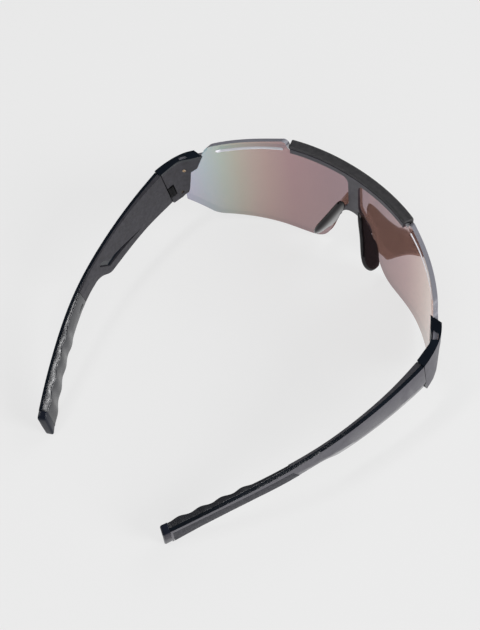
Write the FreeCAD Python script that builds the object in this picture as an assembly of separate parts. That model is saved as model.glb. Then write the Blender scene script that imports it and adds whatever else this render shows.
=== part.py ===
"""Wrap-around shield sports glasses with two folding temples.

Frame: +X is the wearer's left, the lens faces -Y, the temples run back to +Y and +Z is up.
The glasses stand as they rest on a table: the two lens lobes and the two temple tips touch Z = 0.
The origin is the bottom centre of the whole object's box.  All lengths are millimetres.

Three frames share the X axis:
  object frame  (x, y, z)
  lens frame    (x, w, v)  w runs back from the lens apex, v up along the lens
  temple frame  (x, s, h)  s runs back along a temple, h up along the hinge pin
Only the left side is drawn; the right side is its mirror image.
"""
import FreeCAD, Part
import math
import os

from FreeCAD import Placement, Rotation, Vector

os.makedirs("parts", exist_ok=True)

# ---------------------------------------------------------------- driving dimensions
HINGE_Y = -27.32          # temple frame's origin, from the middle of the object's depth
HINGE_Z = 30.04
HINGE_LEAN = 10.87        # degrees the hinge pins lean back
FIT = 0.04                # gap between parts that are fixed to each other
FAR = 200.0               # longer than any part

LENS_LEAN = 2.77          # degrees the lens leans back
LENS_APEX_Y = HINGE_Y - 44.72
LENS_APEX_Z = 42.806
LENS_THICK = 1.8
LENS_RADIUS = 99.2        # plan radius of the lens at the nose
LENS_WRAP = 0.604e-6      # extra fourth-power wrap towards the temples
LENS_END = 66.6           # half width of the lens, inside the endpieces
LENS_END_TOP = 2.4        # just above the lens's end, under the endpiece's roof
LENS_RISE = 61.2          # the lens rises above the endpieces' roof inside this x
LENS_LOW = -50.0          # below the lowest lens edge
LENS_HIGH = 20.0          # above the highest lens edge

VENT_INNER = (33.0, 8.0)  # centres of the vent's two ends, (x, v)
VENT_OUTER = (54.6, 4.0)
VENT_WIDTH = 1.5

BAR_HALF = 30.2           # half width of the brow bar
BAR_FRONT = -1.3          # the bar's front face stands proud of the lens
BAR_BACK = 2.9
BAR_TOP = 11.9
BAR_LIP_LOW = 6.8         # lower edge of the lip in front of the lens
NOTCH_TOP = 8.8           # top of the lens under the bar

BRIDGE_IN = LENS_THICK + FIT
BRIDGE_OUT = 3.05
BRIDGE_HALF = 29.6
BRIDGE_TOP = 10.4
BRIDGE_LOW = 8.2
COLUMN_HALF = 2.5

PARTING = -1.6            # joint face between endpiece and temple, in the temple frame
PARTING_GAP = 0.12
PIVOT_X = 66.6
PIVOT_S = -3.8
PIN_R = 0.6
PIN_LOW = -8.2
PIN_HIGH = 5.0
BARREL_R = 1.4
BARREL_LOW = -5.6
BARREL_HIGH = 0.6
BORE_FIT = 0.05           # running clearance of the barrel on its pin
SWING_GAP = 0.3           # clearance round moving hinge parts

ARM_X = 69.3              # outer face of a temple at s = 0
ARM_HEADINGS = [(0, 3.4), (40, 14.9), (70, 25.4), (104, 29.8)]   # (s, inward heading in degrees)
ARM_SPLIT = 1.35          # thickness of the outer shell at the top edge
ARM_JOINT = 55.5          # the inner panel ends and the soft sleeve begins
END_TOP = (102.2, -0.2)    # (s, h) of the upper corner of a temple's end face
END_LOW = (104.3, -11.4)
CAP_LENGTH = 2.7          # length of the end cap, square to its end face
GRIP_SHORT = 0.8          # the outer grip stops this far ahead of the cap
SCALLOP_PITCH = 7.6
SCALLOP_START = 69.8
SCALLOP_COUNT = 4
SCALLOP_PROUD = 0.6

NOSE_ARCH = [(2.2, -11.6), (4.6, -13.0), (7.2, -16.0), (9.2, -21.0), (11.2, -27.5), (13.4, -34.0)]

PAD_LENGTH = 28.8
PAD_WIDTH = 11.0
PAD_THICK = 2.9
PAD_CENTRE = Vector(9.5, 4.4, -18.7)
PAD_SPLAY = 7.5           # degrees the pad turns to face the side of the nose
PAD_TILT = 22.5           # degrees the pad's foot swings outwards
PAD_PITCH = 9.5           # degrees the pad's foot swings back
PAD_FRONT = 0.4           # depth of the pads' front edge behind the lens's front face
PAD_CLEAR = 0.15          # gap between the pads and the edge of the nose cut-out
PAD_STEP = -18.4          # the pads step forward to the lens below the bridge's foot
PRONG_THICK = 0.9
PRONG_ROOT = (3.0, 8.0)   # stretch of the pad's length where the prong leaves for the bridge

# Plan of an endpiece in the lens frame: inset from the lens face near the lens, then (x, w) to the hinge
ENDPIECE_PLANS = {
    "outer": (-1.2, [(67.5, 34.9), (68.8, 39.6), (69.5, 44.4), (69.6, 48.0)]),
    "split": (-FIT, [(66.1, 33.9), (67.9, 37.6), (68.55, 41.6), (68.8, 45.0), (68.8, 48.0)]),
    "cover": (0.0, [(66.0, 34.0), (67.8, 37.6), (68.5, 41.6), (68.7, 45.0), (68.7, 48.0)]),
    "inner": (2.7, [(64.6, 35.6), (65.45, 39.6), (65.95, 45.0), (66.0, 48.0)]),
}
# Side outline of an endpiece in the lens frame, (w, v), from its top front corner down and round
ENDPIECE_SIDE = [
    (28.2, 2.9), (30.6, -4.1), (32.8, -5.8), (34.0, -15.5), (34.6, -18.3), (37.2, -20.0),
    (50.0, -19.7), (50.0, 0.3),
]
ROOF_THICK = 1.1
# Screws as (x, w, v, degrees their inner end turns forward, head height, reach of the shank)
SCREWS = [(64.41, 34.26, -4.4, 46.0, 0.75, 2.3), (66.1, 36.7, -17.1, 12.0, 0.5, 1.5)]
SCREW_R = 0.45
SCREW_HEAD_R = 0.75
NECK_HALF = 0.95

# Temple sections by distance s behind the temple frame's origin, as (s, value)
ARM_OVER = 14.0           # above every top edge
ARM_UNDER = [(0, -11.7), (37, -7.8), (48, -1.2), (80, -5.5), (104, -12.9)]   # below the lower edge
CREASE_H = [(0, -2.5), (16, -1.6), (38, -0.2), (48, 3.0), (60, 2.6), (70, 1.8), (90, -2.0), (104, -6.0)]
LOWER_LEAN = [(0, 1.9), (37, 1.8), (48, 0.6), (60, 0.65), (70, 1.0), (90, 1.0), (104, 0.3)]
TOP_THICK = [
    (0, 3.3), (10, 2.75), (20, 2.45), (30, 2.25), (45, 2.15), (60, 2.5), (76, 2.9), (92, 3.5), (104, 4.0),
]
LOW_INSET = [
    (0, 2.7), (10, 2.25), (37, 2.25), (48, 1.3), (60, 1.25), (70, 1.6), (80, 1.8), (90, 2.4), (104, 3.9),
]
KNEE_H = [(0, -4.0), (37, -2.5), (48, 6.0), (60, 5.0), (70, 3.5), (80, 2.0), (90, 0.0), (104, -4.0)]
CORE_H = [(58, 3.2), (75, 1.4), (96, -3.6)]
CORE_HALF = 1.1
CORE_INSET = 1.6
CORE_THICK = 0.5
OUTSIDE = -6.0            # insets well outside and well inside a temple
INSIDE = 12.0
GRIP_DEPTH = 0.45
GRIP_PROUD = 0.08
# Recess between the inner panel and the lower flange, (s, h)
FLANGE_GROOVE = [
    (16.0, -4.7), (37.0, 1.6), (39.0, 4.6), (41.6, 5.6), (41.9, 4.4), (37.6, -1.8), (30.2, -2.6),
]
LEAF_X = 67.0
LEAF_THICK = 0.8
LEAF_END = 9.0

# ---------------------------------------------------------------- frames
def placed(shape, lean, y, z):
    """Tip a shape back about X by lean degrees and put its local origin at (0, y, z)."""
    moved = shape.copy()
    tilt = Placement(Vector(0, y, z), Rotation(Vector(1, 0, 0), -lean))
    moved.transformShape(tilt.toMatrix(), True)
    return moved


def from_lens(shape):
    return placed(shape, LENS_LEAN, LENS_APEX_Y, LENS_APEX_Z)


def from_temple(shape):
    return placed(shape, HINGE_LEAN, HINGE_Y, HINGE_Z)


def lens_to_temple(shape):
    """Re-express a lens-frame shape in the temple frame."""
    in_object = from_lens(shape)
    in_object.translate(Vector(0, -HINGE_Y, -HINGE_Z))
    in_object.rotate(Vector(0, 0, 0), Vector(1, 0, 0), HINGE_LEAN)
    return in_object


def mirrored(shape):
    return shape.mirror(Vector(0, 0, 0), Vector(1, 0, 0))


# ---------------------------------------------------------------- drawing helpers
def curve(points):
    """Smooth edge through the points."""
    spline = Part.BSplineCurve()
    spline.interpolate(points)
    return spline.toShape()


def line(a, b):
    return Part.LineSegment(a, b).toShape()


def arc(a, b, c):
    """Circular edge from a through b to c."""
    return Part.Arc(a, b, c).toShape()


def face_of(edges):
    return Part.Face(Part.Wire(Part.__sortEdges__(edges)))


def outline(points):
    """Straight edges that join the points into a closed outline."""
    return [line(a, b) for a, b in zip(points, points[1:] + points[:1])]


def front_prism(edges):
    """Solid with an outline in the lens frame's (x, v) plane, deep enough to pass every part."""
    solid = face_of(edges).extrude(Vector(0, 2 * FAR, 0))
    solid.translate(Vector(0, -FAR, 0))
    return solid


def side_prism(edges):
    """Solid with an outline in a side plane, on the left half only."""
    return face_of(edges).extrude(Vector(FAR, 0, 0))


def at(x, v):
    """Point of a front outline."""
    return Vector(x, 0, v)


def side(s, h):
    """Point of a side outline."""
    return Vector(0, s, h)


def box(x0, x1, y0, y1, z0, z1):
    return Part.makeBox(x1 - x0, y1 - y0, z1 - z0, Vector(x0, y0, z0))


def upright(x, y, radius, z0, z1):
    return Part.makeCylinder(radius, z1 - z0, Vector(x, y, z0))


# ---------------------------------------------------------------- lens surface
def lens_point(x, inset):
    """Plan point of the lens's front surface at x, moved inwards by inset."""
    depth = x * x / (2 * LENS_RADIUS) + LENS_WRAP * x ** 4
    slope = x / LENS_RADIUS + 4 * LENS_WRAP * x ** 3
    size = math.hypot(slope, 1.0)
    return Vector(x - inset * slope / size, depth + inset / size, 0)


def lens_curve(x0, x1, inset, steps=16):
    return curve([lens_point(x0 + (x1 - x0) * i / steps, inset) for i in range(steps + 1)])


def lens_band(x0, x1, inset0, inset1, v0, v1):
    """Wall that follows the lens between two insets, from x0 to x1 and from v0 to v1."""
    edges = [
        lens_curve(x0, x1, inset0),
        line(lens_point(x1, inset0), lens_point(x1, inset1)),
        lens_curve(x0, x1, inset1),
        line(lens_point(x0, inset0), lens_point(x0, inset1)),
    ]
    wall = face_of(edges).extrude(Vector(0, 0, v1 - v0))
    wall.translate(Vector(0, 0, v0))
    return wall


def both_sides(points):
    """A front outline's points from its left half, mirrored and joined in order."""
    return [at(-p.x, p.z) for p in reversed(points)] + points


def lens_outline():
    """Edges of the shield seen from the front."""
    arch = [at(x, v) for x, v in NOSE_ARCH] + [at(16.6, -39.6), at(21.0, -42.3)]
    lobe = [at(21.0, -42.3), at(25.0, -42.6), at(35.0, -41.3), at(47.0, -39.0), at(54.5, -37.0)]
    half = [
        curve(lobe),
        arc(at(54.5, -37.0), at(57.3, -35.8), at(59.3, -33.4)),
        line(at(59.3, -33.4), at(LENS_END, -20.5)),
        line(at(LENS_END, -20.5), at(LENS_END, 1.2)),
        line(at(LENS_END, 1.2), at(60.6, 2.2)),
        curve([at(60.6, 2.2), at(59.4, 2.9), at(58.7, 4.6), at(58.0, 6.2), at(56.8, 7.0)]),
        curve([at(56.8, 7.0), at(48.0, 8.8), at(39.0, 10.6), at(33.4, 12.2)]),
        curve([at(33.4, 12.2), at(32.2, 12.3), at(31.2, 11.4), at(30.6, 9.6), at(29.8, NOTCH_TOP)]),
    ]
    edges = [curve(both_sides(arch)), line(at(-29.8, NOTCH_TOP), at(29.8, NOTCH_TOP))]
    for edge in half:
        edges += [edge, mirrored(edge)]
    return edges


def vent():
    """Slot with round ends near the lens's top edge."""
    (x0, v0), (x1, v1) = VENT_INNER, VENT_OUTER
    tilt = math.degrees(math.atan2(v1 - v0, x1 - x0))
    length = math.hypot(x1 - x0, v1 - v0)
    r = VENT_WIDTH / 2
    edges = [
        line(at(0, r), at(length, r)),
        arc(at(length, r), at(length + r, 0), at(length, -r)),
        line(at(length, -r), at(0, -r)),
        arc(at(0, -r), at(-r, 0), at(0, r)),
    ]
    slot = front_prism(edges)
    slot.rotate(Vector(0, 0, 0), Vector(0, 1, 0), -tilt)
    slot.translate(Vector(x0, 0, v0))
    return slot


def lens_shield():
    band = lens_band(-LENS_END, LENS_END, 0.0, LENS_THICK, LENS_LOW, LENS_HIGH)
    body = band.common(front_prism(lens_outline()))
    holes = [vent()] + screw_bores()
    return cut_all(body, holes + [mirrored(hole) for hole in holes])


# ---------------------------------------------------------------- brow bar and bridge
def brow_bar():
    """Bar over the lens notch: a cap, a lip in front of the lens and a rib on its top edge."""
    cap = lens_band(-BAR_HALF, BAR_HALF, BAR_FRONT, BAR_BACK, BRIDGE_TOP + FIT, BAR_TOP)
    lip = lens_band(-BAR_HALF, BAR_HALF, BAR_FRONT, -FIT, BAR_LIP_LOW, BRIDGE_TOP + 1.0)
    rib_half = BAR_HALF - 2.2
    rib_low = NOTCH_TOP + FIT
    rib = lens_band(-rib_half, rib_half, BAR_FRONT + 0.5, LENS_THICK - FIT, rib_low, BRIDGE_TOP + 1.0)
    bar = cap.fuse(lip).fuse(rib).removeSplitter()
    corners = [
        at(BAR_HALF - 1.6, NOTCH_TOP - 3.0),
        at(BAR_HALF + 2.0, NOTCH_TOP - 3.0),
        at(BAR_HALF + 2.0, BAR_TOP + 1.0),
        at(BAR_HALF, BAR_TOP + 1.0),
    ]
    lens_end = lens_band(-33.0, 33.0, -FIT, LENS_THICK + FIT, LENS_LOW, LENS_HIGH)
    lens_end = lens_end.common(front_prism(outline(corners)))
    return bar.cut(lens_end).cut(mirrored(lens_end))


def bridge_frame():
    """Strip behind the lens under the bar, with a column down to the nose arch."""
    strip = lens_band(-BRIDGE_HALF, BRIDGE_HALF, BRIDGE_IN, BRIDGE_OUT, BRIDGE_LOW, BRIDGE_TOP)
    stem = lens_band(-12.0, 12.0, BRIDGE_IN, BRIDGE_OUT, -19.0, BRIDGE_LOW + 1.0)
    foot = [at(COLUMN_HALF, -6.0), at(3.6, -9.0), at(6.6, -12.6), at(9.0, -17.6)]
    arch = [at(0.0, -11.0), at(3.2, -12.0), at(5.8, -14.6), at(7.2, -18.2)]
    flare = [at(COLUMN_HALF, 5.4), at(3.6, 7.6), at(6.0, BRIDGE_LOW + 0.4)]
    half = [
        curve(foot),
        line(at(9.0, -17.6), at(7.2, -18.2)),
        line(at(COLUMN_HALF, -6.0), at(COLUMN_HALF, 5.4)),
        curve(flare),
        line(at(6.0, BRIDGE_LOW + 0.4), at(0, BRIDGE_LOW + 0.4)),
    ]
    edges = [curve(both_sides(arch[1:]))]
    for edge in half:
        edges += [edge, mirrored(edge)]
    return strip.fuse(stem.common(front_prism(edges))).removeSplitter()


# ---------------------------------------------------------------- nose pads (lens frame)
def pad_placed(shape):
    """Move a shape from the pad's own frame (thickness, width, length) to the left pad's place."""
    moved = shape.copy()
    moved.rotate(Vector(0, 0, 0), Vector(0, 0, 1), -PAD_SPLAY)
    moved.rotate(Vector(0, 0, 0), Vector(1, 0, 0), PAD_PITCH)
    moved.rotate(Vector(0, 0, 0), Vector(0, 1, 0), -PAD_TILT)
    moved.translate(PAD_CENTRE)
    return moved


def pad_plate():
    """Drop-shaped plate, widest near its foot."""
    half = PAD_LENGTH / 2
    wide = PAD_WIDTH / 2
    drop = [(0.5, 0.84), (0.72, 0.25), (1.0, -0.5), (0.62, -0.9), (0.0, -1.0)]
    left = [Vector(0, -a * wide, b * half) for a, b in drop]
    right = [Vector(0, a * wide, b * half) for a, b in reversed(drop[:-1])]
    spline = Part.BSplineCurve()
    spline.interpolate(left + right + [Vector(0, 0, half)], PeriodicFlag=True)
    plate = Part.Face(Part.Wire(spline.toShape())).extrude(Vector(PAD_THICK, 0, 0))
    plate.translate(Vector(-PAD_THICK / 2, 0, 0))
    return plate


def prong_blank(margin):
    """Blade in the pad with a root towards the bridge, in the pad's frame, grown by margin."""
    half = PRONG_THICK / 2 + margin
    low, high = PRONG_ROOT
    blade = box(-half, half, -1.6 - margin, 1.6 + margin, -6.0 - margin, high + margin)
    root = box(-half, half, -9.0, 0.0, low - margin, high + margin)
    return blade.fuse(root).removeSplitter()


def nose_room():
    """Room for the pads: behind the lens, behind the bridge, and inside the lens's nose cut-out."""
    behind_lens = lens_band(0.0, 25.0, LENS_THICK + FIT, 16.0, LENS_LOW, PAD_STEP)
    behind_bridge = lens_band(0.0, 25.0, BRIDGE_OUT + FIT, 16.0, PAD_STEP - 1.0, LENS_HIGH)
    edge = both_sides([at(x - PAD_CLEAR, v - PAD_CLEAR) for x, v in NOSE_ARCH])
    cut_out = front_prism([curve(edge), line(edge[-1], edge[0])])
    inside = lens_band(0.0, 25.0, PAD_FRONT, 3.0, LENS_LOW, PAD_STEP).common(cut_out)
    return behind_lens.fuse(behind_bridge).fuse(inside)


def nose_pad():
    """Soft pad moulded round its prong, its front edge following the lens and the bridge."""
    return pad_placed(pad_plate().cut(prong_blank(FIT))).common(nose_room())


def nose_prong():
    """Rigid prong from the back of the bridge's foot into the pad."""
    return pad_placed(prong_blank(0.0)).common(nose_room())


# ---------------------------------------------------------------- endpieces (lens frame)
def endpiece_plan(name):
    """Plan curve of the endpiece: its outer face, its inner face or the split between its halves."""
    inset, far = ENDPIECE_PLANS[name]
    return [lens_point(x, inset) for x in (60.4, 62.4, 64.4)] + [Vector(x, w, 0) for x, w in far]


def endpiece_wall(outer, inner):
    """Upright wall between two of the endpiece's plan curves."""
    edges = [curve(outer), line(outer[-1], inner[-1]), curve(inner), line(inner[0], outer[0])]
    wall = face_of(edges).extrude(Vector(0, 0, LENS_HIGH - LENS_LOW))
    wall.translate(Vector(0, 0, LENS_LOW))
    return wall


def endpiece_profile():
    """Side outline of the endpiece."""
    points = [side(w, v) for w, v in ENDPIECE_SIDE]
    return side_prism(outline(points))


def roof_zone(drop):
    """Everything above a line that lies drop below the endpiece's sloping top."""
    (w0, v0), (w1, v1) = ENDPIECE_SIDE[0], ENDPIECE_SIDE[-1]
    rise = (v1 - v0) / (w1 - w0)
    front = side(w0 - 10, v0 - 10 * rise - drop)
    back = side(w1 + 10, v1 + 10 * rise - drop)
    corners = [front, back, side(w1 + 10, LENS_HIGH), side(w0 - 10, LENS_HIGH)]
    return side_prism(outline(corners))


def lens_room():
    """Slot that the lens's end fills, open upwards where the lens rises in front of the endpiece."""
    slot = lens_band(40.0, LENS_END + FIT, -FIT, LENS_THICK + FIT, LENS_LOW, LENS_END_TOP)
    rise = lens_band(40.0, LENS_RISE, -FIT, LENS_THICK + FIT, LENS_LOW, LENS_HIGH)
    return slot.fuse(rise)


def hinge_spaces():
    """Spaces, in the temple frame, that the barrel and the folding temple sweep in the endpiece."""
    low = BARREL_LOW - SWING_GAP
    high = BARREL_HIGH + SWING_GAP
    reach = PARTING - PIVOT_S - SWING_GAP
    pocket = upright(PIVOT_X, PIVOT_S, BARREL_R + SWING_GAP, low, high)
    window = box(40, PIVOT_X + NECK_HALF + SWING_GAP, PIVOT_S - NECK_HALF - SWING_GAP, 5, low, high)
    corner = box(40, PIVOT_X, PIVOT_S, 5, -FAR / 2, FAR / 2)
    corner = corner.cut(upright(PIVOT_X, PIVOT_S, reach, -FAR / 2, FAR / 2))
    joint_face = box(40, 90, PARTING - PARTING_GAP, FAR, -FAR / 2, FAR / 2)
    return [pocket, window, corner, joint_face]


def screw(x, w, v, turn, head, reach):
    """Slotted screw: its head is towards the wearer and its shank points outwards."""
    seat = Vector(x, w, v)
    out = Vector(math.cos(math.radians(turn)), -math.sin(math.radians(turn)), 0)
    body = Part.makeCylinder(SCREW_HEAD_R, head, seat, out * -1)
    body = body.fuse(Part.makeCylinder(SCREW_R, reach, seat, out))
    slot = box(-SCREW_HEAD_R, SCREW_HEAD_R, -0.15, 0.15, head - 0.3, head + 0.1)
    slot.Placement = Placement(seat, Rotation(Vector(0, 0, 1), out * -1))
    return body.cut(slot)


def screw_bores():
    """Holes for the screws through the cover, past the lens and into the shell."""
    bores = []
    for x, w, v, turn, _, reach in SCREWS:
        seat = Vector(x, w, v)
        out = Vector(math.cos(math.radians(turn)), -math.sin(math.radians(turn)), 0)
        bores.append(Part.makeCylinder(SCREW_HEAD_R + FIT, 6.0, seat, out * -1))
        bores.append(Part.makeCylinder(SCREW_R + FIT, reach + FIT, seat, out))
    return bores


def cut_all(shape, tools):
    for tool in tools:
        shape = shape.cut(tool)
    return shape


def endpiece_shell():
    """Glossy outer half: the outer wall and the roof over the lens's end."""
    profile = endpiece_profile()
    wall = endpiece_wall(endpiece_plan("outer"), endpiece_plan("split")).common(profile)
    roof = endpiece_wall(endpiece_plan("outer"), endpiece_plan("inner")).common(profile)
    roof = roof.common(roof_zone(ROOF_THICK))
    body = cut_all(wall.fuse(roof).removeSplitter(), [lens_room()] + screw_bores())
    return cut_all(lens_to_temple(body), hinge_spaces())


def endpiece_cover():
    """Matt inner half: carries the lens screws and the two knuckles of the hinge."""
    body = endpiece_wall(endpiece_plan("cover"), endpiece_plan("inner")).common(endpiece_profile())
    body = body.cut(roof_zone(ROOF_THICK + FIT)).cut(lens_room())
    body = cut_all(body, screw_bores())
    body = cut_all(lens_to_temple(body), hinge_spaces())
    return body.cut(upright(PIVOT_X, PIVOT_S, PIN_R + FIT / 2, PIN_LOW - 6, PIN_HIGH + FIT))


# ---------------------------------------------------------------- temples (temple frame)
def arm_place(s):
    """Outer path of a temple at distance s: its x and its inward heading in radians."""
    x = ARM_X
    for (s0, degrees0), (s1, degrees1) in zip(ARM_HEADINGS, ARM_HEADINGS[1:]):
        sine0 = math.sin(math.radians(degrees0))
        sine1 = math.sin(math.radians(degrees1))
        radius = (s1 - s0) / (sine1 - sine0)
        last = s1 == ARM_HEADINGS[-1][0]
        reach = s if last else min(s, s1)
        sine = sine0 + (reach - s0) / radius
        x -= radius * (math.sqrt(1 - sine0 ** 2) - math.sqrt(1 - sine ** 2))
        if s <= s1 or last:
            return x, math.asin(sine)


def arm_point(s, inset, h):
    """Point at distance s along the temple, inset from its outer face, at height h."""
    x, heading = arm_place(s)
    return Vector(x - inset * math.cos(heading), s - inset * math.sin(heading), h)


def along(keys, s):
    """Value at s from (s, value) keys, straight between them."""
    if s <= keys[0][0]:
        return keys[0][1]
    for (s0, a), (s1, b) in zip(keys, keys[1:]):
        if s <= s1:
            return a + (b - a) * (s - s0) / (s1 - s0)
    return keys[-1][1]


def arm_layer(outer, inner, s0=-8.0, s1=112.0, steps=12):
    """Loft along a temple. outer and inner give (inset, h) points from the top down at a station."""
    wires = []
    for i in range(steps + 1):
        s = s0 + (s1 - s0) * i / steps
        ring = [arm_point(s, inset, h) for inset, h in outer(s) + inner(s)[::-1]]
        wires.append(Part.makePolygon(ring + [ring[0]]))
    return Part.makeLoft(wires, True, False)


def outer_face(s, sunk=0.0):
    """Outer face of a temple: upright above the crease, leaning inwards below it."""
    crease = along(CREASE_H, s)
    lean = along(LOWER_LEAN, s)
    return [(sunk, ARM_OVER), (sunk, crease), (sunk + lean, along(ARM_UNDER, s))]


def inner_face(s, sunk=0.0):
    """Inner face of a temple: parallel at the top, closing towards the lower edge."""
    top = along(TOP_THICK, s)
    low = along(LOW_INSET, s)
    knee = along(KNEE_H, s)
    return [(top - sunk, ARM_OVER), (top - sunk, knee), (low - sunk, along(ARM_UNDER, s))]


def split_face(s, extra=0.0):
    """Face between the outer shell and the parts on its inner side."""
    top = ARM_SPLIT + extra
    low = 0.5 * (along(LOWER_LEAN, s) + along(LOW_INSET, s)) + extra
    knee = along(KNEE_H, s)
    return [(top, ARM_OVER), (top, knee), (low, along(ARM_UNDER, s))]


def upright_face(s, inset):
    """Plain upright face at an inset well clear of the temple."""
    return [(inset, ARM_OVER), (inset, 0.0), (inset, along(ARM_UNDER, s))]


def arm_outline(s0, s1):
    """Side outline of a temple, cut to the stretch from s0 to s1."""
    top = [line(side(-10, 10.9), side(45, 9.5)), arc(side(45, 9.5), side(75, 6.6), side(*END_TOP))]
    end = [
        line(side(*END_TOP), side(108, -2.3)),
        line(side(108, -2.3), side(108, -14.4)),
        line(side(108, -14.4), side(102.6, -11.4)),
    ]
    low = [
        arc(side(102.6, -11.4), side(80, -4.0), side(48, 0.3)),
        curve([side(48, 0.3), side(45, 0.0), side(42.2, -1.9), side(39.6, -4.8), side(37.0, -5.9)]),
        line(side(37.0, -5.9), side(-10, -10.4)),
        line(side(-10, -10.4), side(-10, 10.9)),
    ]
    stretch = box(0, FAR, s0, s1, -FAR / 2, FAR / 2)
    return side_prism(top + end + low).common(stretch)


def behind_end(ahead):
    """Everything behind a plane that is parallel to a temple's end face and lies ahead of it."""
    (top_s, top_h), (low_s, low_h) = END_TOP, END_LOW
    _, heading = arm_place(top_s)
    lean = math.degrees(math.atan2(low_s - top_s, top_h - low_h))
    space = box(-FAR / 2, FAR / 2, 0, FAR, -FAR / 2, FAR / 2)
    space.rotate(Vector(0, 0, 0), Vector(1, 0, 0), lean)
    space.rotate(Vector(0, 0, 0), Vector(0, 0, 1), math.degrees(heading))
    space.translate(arm_point(top_s - ahead, 0, top_h))
    return space


def grip_outline(margin):
    """Side outline of the textured outer insert, grown by margin."""
    top = [side(56.0 - margin, 5.6)]
    top += [side(58.0 - margin, 5.9 + margin), side(80, 3.4 + margin), side(104, -3.0 + margin)]
    low = [side(54.2 - margin, 0.0), side(56.4 - margin, -12.0), side(104, -12.0)]
    edges = [
        line(top[0], top[1]),
        arc(top[1], top[2], top[3]),
        line(top[3], low[2]),
        line(low[2], low[1]),
        line(low[1], low[0]),
        line(low[0], top[0]),
    ]
    return side_prism(edges).cut(behind_end(CAP_LENGTH + GRIP_SHORT - margin))


def arm_body(bulge=0.0):
    """Full section of a temple, its inner face moved inwards by bulge."""
    return arm_layer(outer_face, lambda s: inner_face(s, -bulge))


def inside_split(extra):
    """Everything on the inner side of the face between the shell and the inner parts."""
    return arm_layer(lambda s: split_face(s, extra), lambda s: upright_face(s, INSIDE))


def outside_skin(depth):
    """Everything from well outside a temple to depth below its outer face."""
    return arm_layer(lambda s: upright_face(s, OUTSIDE), lambda s: outer_face(s, depth))


def temple_shell():
    """Glossy outer shell of a temple, recessed for the outer grip and the hinge leaf."""
    body = arm_body().common(arm_outline(PARTING, FAR)).cut(inside_split(0.0)).cut(behind_end(CAP_LENGTH))
    pocket = outside_skin(GRIP_DEPTH).common(grip_outline(FIT))
    return body.cut(pocket).cut(leaf_box(FIT))


def outer_grip():
    """Textured rubber insert in the outer face, standing slightly proud."""
    proud = arm_layer(lambda s: outer_face(s, -GRIP_PROUD), inner_face)
    below = arm_layer(lambda s: outer_face(s, GRIP_DEPTH - FIT), lambda s: upright_face(s, INSIDE))
    return proud.common(grip_outline(0.0)).common(arm_outline(PARTING, FAR)).cut(below)


def flange_groove():
    """Wedge-shaped recess between the panel and the temple's lower flange, with a hooked rear end."""
    corners = [side(s, h) for s, h in FLANGE_GROOVE]
    return side_prism(outline(corners))


def inner_panel():
    """Matt inner panel from the hinge to the sleeve, open at the wedge-shaped recess."""
    body = arm_body().common(arm_outline(PARTING, ARM_JOINT)).common(inside_split(FIT))
    return body.cut(flange_groove()).cut(leaf_box(FIT))


def ripple(s):
    """Height of the sleeve's swellings above its inner face at distance s."""
    turns = (s - SCALLOP_START) / SCALLOP_PITCH
    if turns < 0 or turns > SCALLOP_COUNT:
        return 0.0
    return SCALLOP_PROUD * 0.5 * (1 - math.cos(2 * math.pi * turns))


def inner_sleeve():
    """Soft sleeve with a row of shallow swellings that grip the side of the head."""
    step = SCALLOP_PITCH / 6
    start = SCALLOP_START - 12 * step
    rippled = arm_layer(outer_face, lambda s: inner_face(s, -ripple(s)), start, start + 38 * step, 38)
    body = rippled.common(arm_outline(ARM_JOINT + FIT, FAR)).common(inside_split(FIT))
    return body.cut(behind_end(CAP_LENGTH)).cut(core_strip(FIT))


def core_strip(margin):
    """Bendable metal strip inside the temple, grown by margin."""
    def edge(s, inset):
        mid = along(CORE_H, s)
        return [(inset, mid + CORE_HALF + margin), (inset, mid - CORE_HALF - margin)]

    def outer(s):
        return edge(s, CORE_INSET - margin)

    def inner(s):
        return edge(s, CORE_INSET + CORE_THICK + margin)

    (first, _), (last, _) = CORE_H[0], CORE_H[-1]
    return arm_layer(outer, inner, first - margin, last + margin, 6)


def temple_cap():
    """End cap that closes the shell and the sleeve, with a flat foot at the resting plane."""
    end = arm_body().common(arm_outline(ARM_JOINT, FAR)).common(behind_end(CAP_LENGTH - FIT))
    return from_temple(end.cut(behind_end(0.0))).cut(box(0, FAR, 0, FAR, -FAR / 2, 0.0))


def leaf_box(margin):
    """Leaf of the hinge inside the temple, grown by margin."""
    x0 = LEAF_X - margin
    x1 = LEAF_X + LEAF_THICK + margin
    return box(x0, x1, PARTING - 1.0, LEAF_END + margin, BARREL_LOW - margin, BARREL_HIGH + margin)


def hinge_leaf():
    """Metal hinge half on the temple: a barrel round the pin, a neck and a leaf in the temple."""
    barrel = upright(PIVOT_X, PIVOT_S, BARREL_R, BARREL_LOW, BARREL_HIGH)
    neck = box(PIVOT_X - NECK_HALF, PIVOT_X + NECK_HALF, PIVOT_S, PARTING - 0.3, BARREL_LOW, BARREL_HIGH)
    leaf = box(LEAF_X, LEAF_X + LEAF_THICK, PARTING - 0.6, LEAF_END, BARREL_LOW, BARREL_HIGH)
    bore = upright(PIVOT_X, PIVOT_S, PIN_R + BORE_FIT, BARREL_LOW - 1, BARREL_HIGH + 1)
    return barrel.fuse(neck).fuse(leaf).removeSplitter().cut(bore)


def hinge_pin():
    return upright(PIVOT_X, PIVOT_S, PIN_R, PIN_LOW, PIN_HIGH)


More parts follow.
